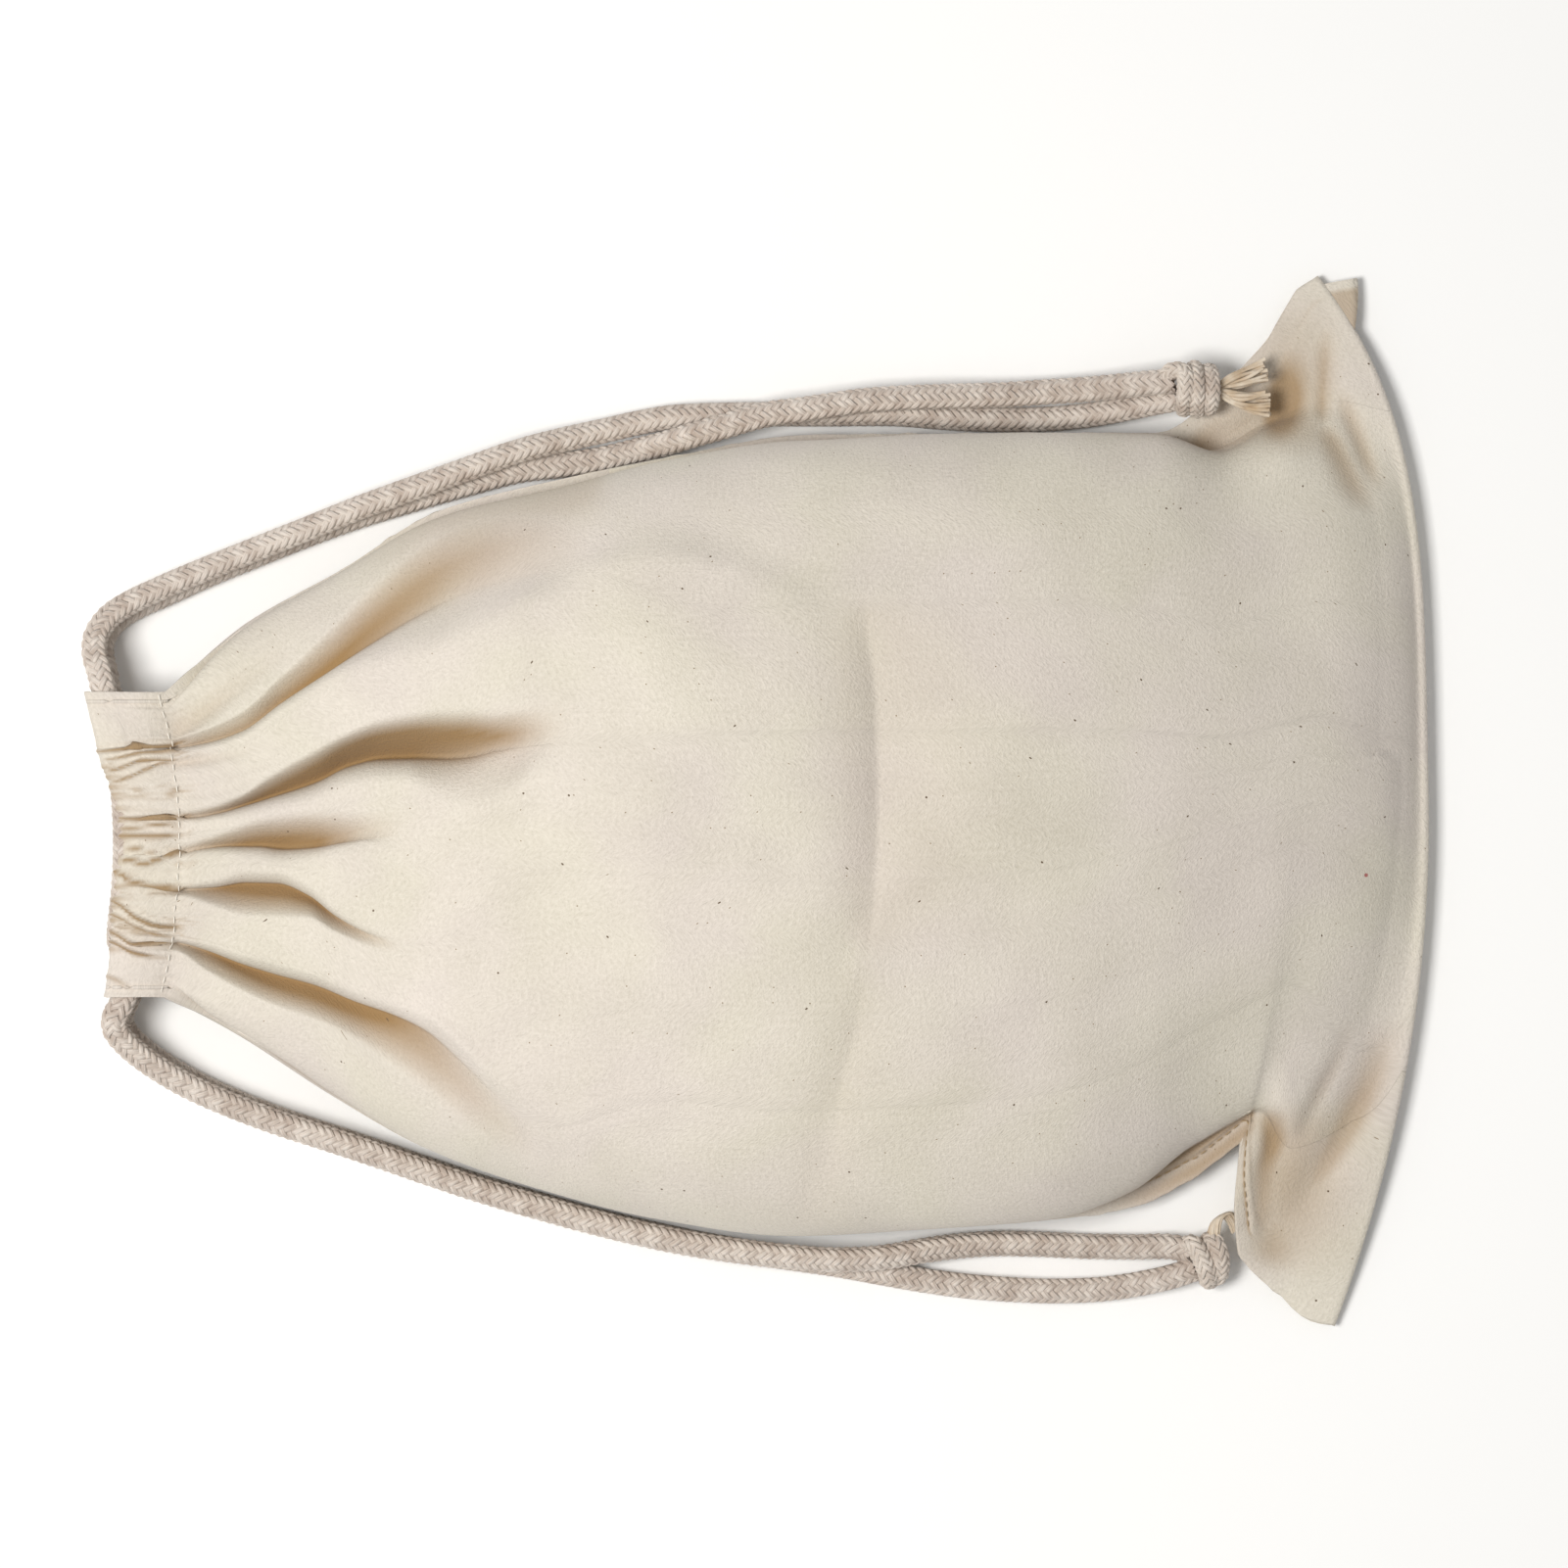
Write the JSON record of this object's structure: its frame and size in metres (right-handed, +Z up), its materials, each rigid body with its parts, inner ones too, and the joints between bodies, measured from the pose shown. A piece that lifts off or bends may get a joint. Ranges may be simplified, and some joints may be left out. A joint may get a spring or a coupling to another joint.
{
  "type": "drawstring bag",
  "caption": "Flat canvas drawstring bag, softly filled and lying on its back, with a gathered casing mouth and braided cords knotted at both sides.",
  "frame": {"origin": "on the table under the middle of the bag's outline", "axes": "+Z up off the table, -X towards the mouth, +X towards the bottom fold, Y across the bag between its side seams"},
  "size_m": [0.4126, 0.3222, 0.0887],
  "materials": {
    "canvas": "matte",
    "cord": "matte"
  },
  "bodies": {
    "root": {"front_panel": "canvas", "back_panel": "canvas", "cord_a_casing": "cord", "cord_a_front": "cord", "cord_a_back": "cord", "cord_b_casing": "cord", "cord_b_front": "cord", "cord_b_back": "cord", "knot_a": "cord", "knot_b": "cord", "tail_a": "cord", "tail_b": "cord"}
  },
  "joints": []
}
